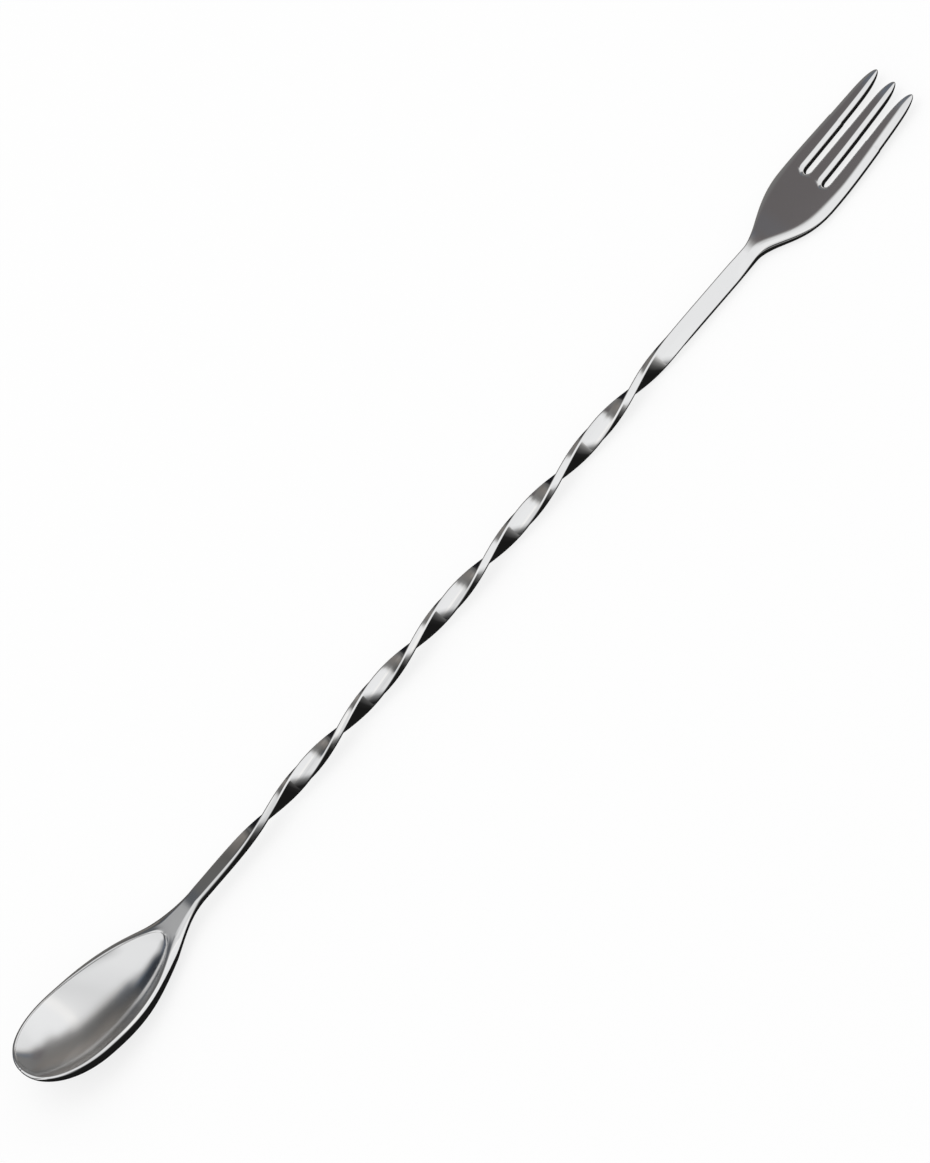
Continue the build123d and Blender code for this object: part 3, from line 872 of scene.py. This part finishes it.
def white_floor():
    """Pale floor that keeps a soft shadow."""
    floor = plane("floor", (-FLOOR_REACH, -FLOOR_REACH), (FLOOR_REACH, FLOOR_REACH), FLOOR_HEIGHT)
    material = bpy.data.materials.new("pale_floor")
    material.use_nodes = True
    nodes, links = material.node_tree.nodes, material.node_tree.links
    nodes.clear()
    output = nodes.new("ShaderNodeOutputMaterial")
    paint = nodes.new("ShaderNodeBsdfDiffuse")
    paint.inputs["Color"].default_value = FLOOR_PAINT
    glow = nodes.new("ShaderNodeEmission")
    path = nodes.new("ShaderNodeLightPath")
    seen = path.outputs["Is Camera Ray"]
    for ray in ("Is Glossy Ray", "Is Transmission Ray"):
        seen = sums(nodes, links, "MAXIMUM", seen, path.outputs[ray])
    mix = nodes.new("ShaderNodeMixShader")
    links.new(sums(nodes, links, "MULTIPLY", seen, FLOOR_GLOW), mix.inputs["Fac"])
    links.new(paint.outputs["BSDF"], mix.inputs[1])
    links.new(glow.outputs["Emission"], mix.inputs[2])
    links.new(mix.outputs["Shader"], output.inputs["Surface"])
    floor.data.materials.append(material)


def shade(value, tint):
    return tuple(value * part for part in tint)


def floor_card(name, low, high, colour):
    """Card on the floor between two corners that only reflections see, glowing with a painted
    reflection.
    """
    card = plane(name, low, high, CARD_HEIGHT)
    material, nodes, links, glow, place = glowing(name)
    glow.inputs["Color"].default_value = (*colour, 1.0)
    card.data.materials.append(material)
    reflections_only(card)
    return nodes, links, glow, place


def painted_front_floor_reflection():
    """Painted reflection of the floor in front: painted shade under the spoon, and towards the fork
    ever lighter far out.
    """
    low, high = (-CARD_REACH, -CARD_REACH), (CARD_REACH, FLOOR_PARTING)
    nodes, links, glow, place = floor_card("painted_front_floor_reflection", low, high, PLAIN)
    split = nodes.new("ShaderNodeSeparateXYZ")
    links.new(place, split.inputs["Vector"])
    # the painted shade under the fork reaches out to the fork's half width
    shaded = eased(nodes, links, split.outputs["X"], *FORK_SHADE_CHANGE, 0.0, FORK_SHADE)
    backward = sums(nodes, links, "ADD", split.outputs["Y"], shaded)
    forward = sums(nodes, links, "MULTIPLY", backward, -1.0)
    outward = sums(nodes, links, "MAXIMUM", forward, LEAST_DISTANCE)
    share = sums(nodes, links, "DIVIDE", sums(nodes, links, "ARCTAN2", -FLOOR_SHIFT, outward), pi)
    links.new(front_light(nodes, links, share, split.outputs["X"]), glow.inputs["Color"])


def painted_back_floor_reflection():
    """Painted reflection of the floor behind the bowl and the stem: painted shade under the spoon
    and grey far out.
    """
    low, high = (-CARD_REACH, FLOOR_PARTING), (FORK_FLOOR_FROM, CARD_REACH)
    nodes, links, glow, place = floor_card("painted_back_floor_reflection", low, high, PLAIN)
    split = nodes.new("ShaderNodeSeparateXYZ")
    links.new(place, split.inputs["Vector"])
    far = eased(nodes, links, split.outputs["Y"], *BACK_FLOOR_CHANGE, 0.0, 1.0)
    stops = ((0, PAINTED_SHADE), (1, shade(BACK_FLOOR_GREY, PLAIN)))
    links.new(ramp_of(nodes, links, far, stops), glow.inputs["Color"])


def painted_fork_floor_reflection():
    """Painted reflection of the floor behind the fork, an even grey."""
    low, high = (FORK_FLOOR_FROM, FLOOR_PARTING), (CARD_REACH, CARD_REACH)
    floor_card("painted_grey_floor_reflection", low, high, shade(FORK_FLOOR_GREY, BROWN))


def painted_reflection_vault():
    """Arched card along the spoon that glows as a painted reflection, which only reflections see.

    Its painted reflection is dark low down in front, white overhead, and dark again behind; the
    white comes lower in front towards the fork.
    """
    bpy.ops.mesh.primitive_cylinder_add(
        vertices=VAULT_SIDES, radius=VAULT_RADIUS, depth=2 * VAULT_HALF_LENGTH,
        end_fill_type="NOTHING", rotation=(0, pi / 2, 0),
    )
    card = bpy.context.object
    card.name = "painted_reflection_vault"
    card.data.transform(card.matrix_world)
    card.matrix_world = Matrix.Identity(4)
    material, nodes, links, glow, place = glowing("painted_reflection_vault")
    split = nodes.new("ShaderNodeSeparateXYZ")
    links.new(place, split.inputs["Vector"])
    forward = sums(nodes, links, "MULTIPLY", split.outputs["Y"], -1.0)
    angle = sums(nodes, links, "ARCTAN2", split.outputs["Z"], forward)
    share = sums(nodes, links, "DIVIDE", angle, pi)
    along = split.outputs["X"]
    front = front_light(nodes, links, share, along)
    back = None
    for change, stops in BACK_ZONES:
        colours = [(at / 180, shade(value, tint)) for at, value, tint in stops]
        zone = ramp_of(nodes, links, share, colours)
        back = eased_mix(nodes, links, along, change, back, zone) if change else zone
    links.new(back, glow.inputs["Color"])
    links.new(front, glow.inputs["Strength"])
    card.data.materials.append(material)
    reflections_only(card)


def world_light():
    world = bpy.data.worlds.new("studio")
    bpy.context.scene.world = world
    world.use_nodes = True
    background = world.node_tree.nodes["Background"]
    background.inputs["Color"].default_value = (1, 1, 1, 1)
    background.inputs["Strength"].default_value = WORLD_STRENGTH


def softbox():
    light = bpy.data.lights.new("softbox", "AREA")
    light.shape = "RECTANGLE"
    light.size = SOFTBOX_SIZE
    light.size_y = SOFTBOX_SIZE
    light.energy = SOFTBOX_POWER
    thing = bpy.data.objects.new("softbox", light)
    thing.location = SOFTBOX_AT
    bpy.context.scene.collection.objects.link(thing)
    thing.visible_glossy = False


# ---- camera ----

VIEW_ELEVATION = 47.0
SCREEN_ROLL = 49.66
LENS = 220.0
SENSOR = 36.0
FRAME_LENGTH = 0.2690        # metres of the spoon's own plane along the picture's long side
AIM = Vector((0.0, 0.0, 0.004))


def make_camera():
    data = bpy.data.cameras.new("camera")
    data.lens = LENS
    data.sensor_width = SENSOR
    data.sensor_fit = "AUTO"
    camera = bpy.data.objects.new("camera", data)
    bpy.context.scene.collection.objects.link(camera)
    bpy.context.scene.camera = camera
    elevation = radians(VIEW_ELEVATION)
    back = Vector((0, -cos(elevation), sin(elevation)))
    up = Vector((0, sin(elevation), cos(elevation)))
    right = Vector((1, 0, 0))
    roll = radians(SCREEN_ROLL)
    right, up = cos(roll) * right - sin(roll) * up, sin(roll) * right + cos(roll) * up
    distance = FRAME_LENGTH * LENS / SENSOR
    turn = Matrix((right, up, back)).transposed().to_4x4()
    camera.matrix_world = Matrix.Translation(AIM + back * distance) @ turn
    data.clip_start = 0.01
    data.clip_end = 100


# ---- making ----

mirror_steel = steel("mirror_steel", 0.045, 0.015, 0.12)
hollow_steel = steel("satin_hollow_steel", 0.15, 0.03, 0.15)
polished_steel = steel("polished_steel", 0.08, 0.02, 0.15)

for name, build, node, materials in (
    ("bowl", bowl_mesh, "spoon_bowl", (polished_steel, hollow_steel)),
    ("stem", stem_mesh, "twisted_stem", (mirror_steel,)),
    ("fork", fork_mesh, "fork_head", (polished_steel,)),
):
    make_piece(name, build(), node, materials)

make_camera()
world_light()
softbox()
white_floor()
painted_front_floor_reflection()
painted_back_floor_reflection()
painted_fork_floor_reflection()
painted_reflection_vault()

view = bpy.context.scene.view_settings
view.view_transform = "Standard"
